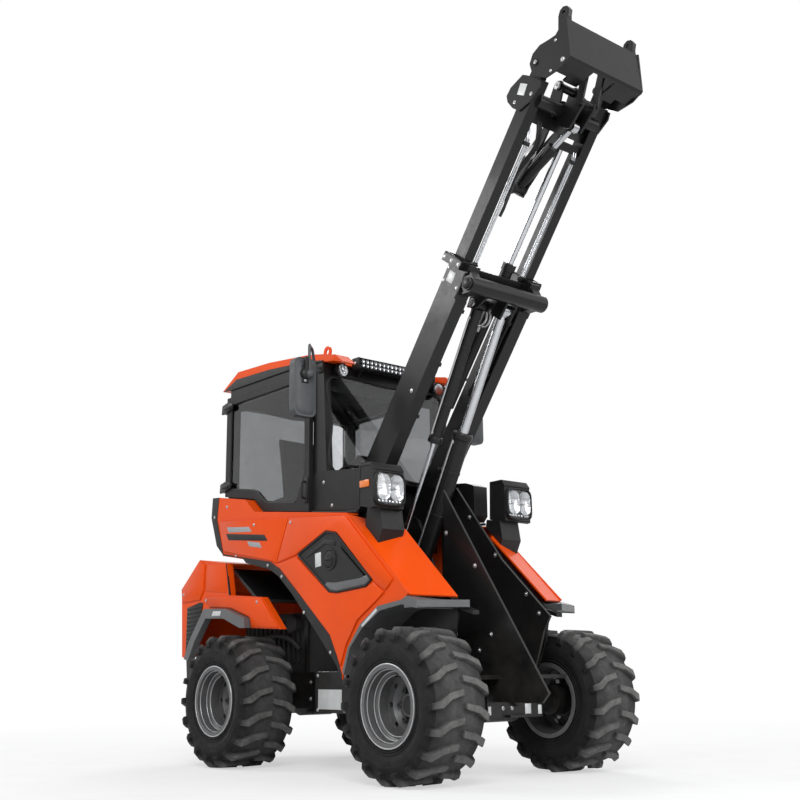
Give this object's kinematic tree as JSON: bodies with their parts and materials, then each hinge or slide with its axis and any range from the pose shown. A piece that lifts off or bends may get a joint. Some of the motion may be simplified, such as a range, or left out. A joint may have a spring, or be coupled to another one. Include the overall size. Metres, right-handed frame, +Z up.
{
  "type": "wheel loader",
  "caption": "Articulated compact wheel loader with an enclosed cab and a raised telescopic twin-arm boom that ends in a quick tool carrier, without a tool.",
  "frame": {"origin": "centre of the bounding box, on the ground under the tyres", "axes": "+X forward, +Y to the left, +Z up; the height is the longest extent and the width the shortest"},
  "size_m": [3.373, 1.573, 4.0528],
  "materials": {
    "body_orange": "gloss",
    "frame_black": "satin",
    "trim_black": "satin",
    "cowl_grey": "satin",
    "tyre_rubber": "matte",
    "rim_grey": "satin",
    "rod_chrome": "polished",
    "window": "clear",
    "lamp_clear": "clear",
    "seat_cover": "matte",
    "engine_iron": "matte"
  },
  "bodies": {
    "front_frame": {"front_chassis": "frame_black", "front_axle": "frame_black", "side_panels": "body_orange", "front_fender_lips": "trim_black", "side_vents": "trim_black", "cab_frame": "frame_black", "cab_roof": "body_orange", "cab_glass": "window", "cab_cowl": "cowl_grey", "seat": "seat_cover", "steering_column": "trim_black", "headlight_housings": "trim_black", "headlight_lenses": "lamp_clear", "mirrors": "trim_black", "light_bar": "trim_black"},
    "rear_frame": {"rear_chassis": "frame_black", "rear_axle": "frame_black", "engine_block": "engine_iron", "rear_hood": "body_orange", "rear_grilles": "trim_black", "rear_fender_lips": "trim_black"},
    "wheel_front_right": {"tyre_front_right": "tyre_rubber", "rim_front_right": "rim_grey"},
    "wheel_front_left": {"tyre_front_left": "tyre_rubber", "rim_front_left": "rim_grey"},
    "wheel_rear_right": {"tyre_rear_right": "tyre_rubber", "rim_rear_right": "rim_grey"},
    "wheel_rear_left": {"tyre_rear_left": "tyre_rubber", "rim_rear_left": "rim_grey"},
    "door_right": {"cab_door_right": "trim_black", "door_glass_right": "window"},
    "door_left": {"cab_door_left": "trim_black", "door_glass_left": "window"},
    "boom": {"outer_boom": "frame_black"},
    "boom_extension": {"inner_boom": "frame_black", "reach_rod": "rod_chrome", "tilt_barrel": "frame_black"},
    "carrier": {"tool_carrier": "frame_black"},
    "lever": {"tilt_lever": "frame_black"},
    "link": {"tilt_link": "frame_black"},
    "tilt_piston": {"tilt_rod": "rod_chrome"},
    "lift_cylinder": {"lift_barrel": "frame_black"},
    "lift_piston": {"lift_rod": "rod_chrome"},
    "level_cylinder": {"level_barrel": "frame_black"},
    "level_piston": {"level_rod": "rod_chrome"}
  },
  "joints": [
    {"name": "articulation", "type": "hinge", "parent": "front_frame", "child": "rear_frame", "pos_m": [-0.152, 0, 0.45], "axis": [0, 0, 1], "range_deg": [-40, 40]},
    {"name": "wheel_spin_front_right", "type": "hinge", "parent": "front_frame", "child": "wheel_front_right", "pos_m": [0.675, -0.592, 0.394], "axis": [0, 1, 0], "continuous": true},
    {"name": "wheel_spin_front_left", "type": "hinge", "parent": "front_frame", "child": "wheel_front_left", "pos_m": [0.675, 0.592, 0.394], "axis": [0, 1, 0], "continuous": true},
    {"name": "wheel_spin_rear_right", "type": "hinge", "parent": "rear_frame", "child": "wheel_rear_right", "pos_m": [-0.979, -0.592, 0.394], "axis": [0, 1, 0], "continuous": true},
    {"name": "wheel_spin_rear_left", "type": "hinge", "parent": "rear_frame", "child": "wheel_rear_left", "pos_m": [-0.979, 0.592, 0.394], "axis": [0, 1, 0], "continuous": true},
    {"name": "door_right_swing", "type": "hinge", "parent": "front_frame", "child": "door_right", "pos_m": [-1.31, -0.5203, 2], "axis": [0, 0, -1], "range_deg": [0, 85]},
    {"name": "door_left_swing", "type": "hinge", "parent": "front_frame", "child": "door_left", "pos_m": [-1.31, 0.5203, 2], "axis": [0, 0, 1], "range_deg": [0, 85]},
    {"name": "boom_lift", "type": "hinge", "parent": "front_frame", "child": "boom", "pos_m": [-0.209, 0, 1.45], "axis": [0, -1, 0], "range_deg": [-79, 4]},
    {"name": "boom_reach", "type": "slide", "parent": "boom", "child": "boom_extension", "axis": [0.5934, 0, 0.8049], "range_m": [-0.7, 0.08]},
    {"name": "carrier_tilt", "type": "hinge", "parent": "boom_extension", "child": "carrier", "pos_m": [1.42959, 0, 3.79892], "axis": [0, -1, 0], "range_deg": [-40, 30]},
    {"name": "lever_turn", "type": "hinge", "parent": "boom_extension", "child": "lever", "pos_m": [1.36526, 0, 3.61898], "axis": [0, -1, 0], "range_deg": [-40.5, 30.5]},
    {"name": "link_turn", "type": "hinge", "parent": "lever", "child": "link", "pos_m": [1.52331, 0, 3.61428], "axis": [0, -1, 0], "range_deg": [-30.5, 40.5]},
    {"name": "tilt_stroke", "type": "slide", "parent": "boom_extension", "child": "tilt_piston", "axis": [0.9024, 0, 0.4309], "range_m": [-0.0796, 0.0602]},
    {"name": "lift_cylinder_swing", "type": "hinge", "parent": "front_frame", "child": "lift_cylinder", "pos_m": [-0.099, 0.055, 0.98], "axis": [0, -1, 0], "range_deg": [-71.6, 4.1]},
    {"name": "lift_stroke", "type": "slide", "parent": "lift_cylinder", "child": "lift_piston", "axis": [0.4727, 0, 0.8812], "range_m": [-0.6024, 0.0324]},
    {"name": "level_cylinder_swing", "type": "hinge", "parent": "boom", "child": "level_cylinder", "pos_m": [0.70527, -0.075, 2.63954], "axis": [0, -1, 0], "range_deg": [-7.41, 0.66]},
    {"name": "level_stroke", "type": "slide", "parent": "level_cylinder", "child": "level_piston", "axis": [-0.474, 0, -0.8805], "range_m": [-0.2627, 0.0152]}
  ],
  "couplings": [
    {"joint": "lift_cylinder_swing", "follows": "boom_lift", "ratio": 0.9},
    {"joint": "lift_stroke", "follows": "boom_lift", "m_per_rad": 0.43545},
    {"joint": "level_cylinder_swing", "follows": "boom_lift", "ratio": 0.09},
    {"joint": "level_stroke", "follows": "boom_lift", "m_per_rad": 0.18908},
    {"joint": "lever_turn", "follows": "carrier_tilt", "ratio": 1},
    {"joint": "link_turn", "follows": "carrier_tilt", "ratio": -1},
    {"joint": "tilt_stroke", "follows": "carrier_tilt", "m_per_rad": 0.11115}
  ]
}
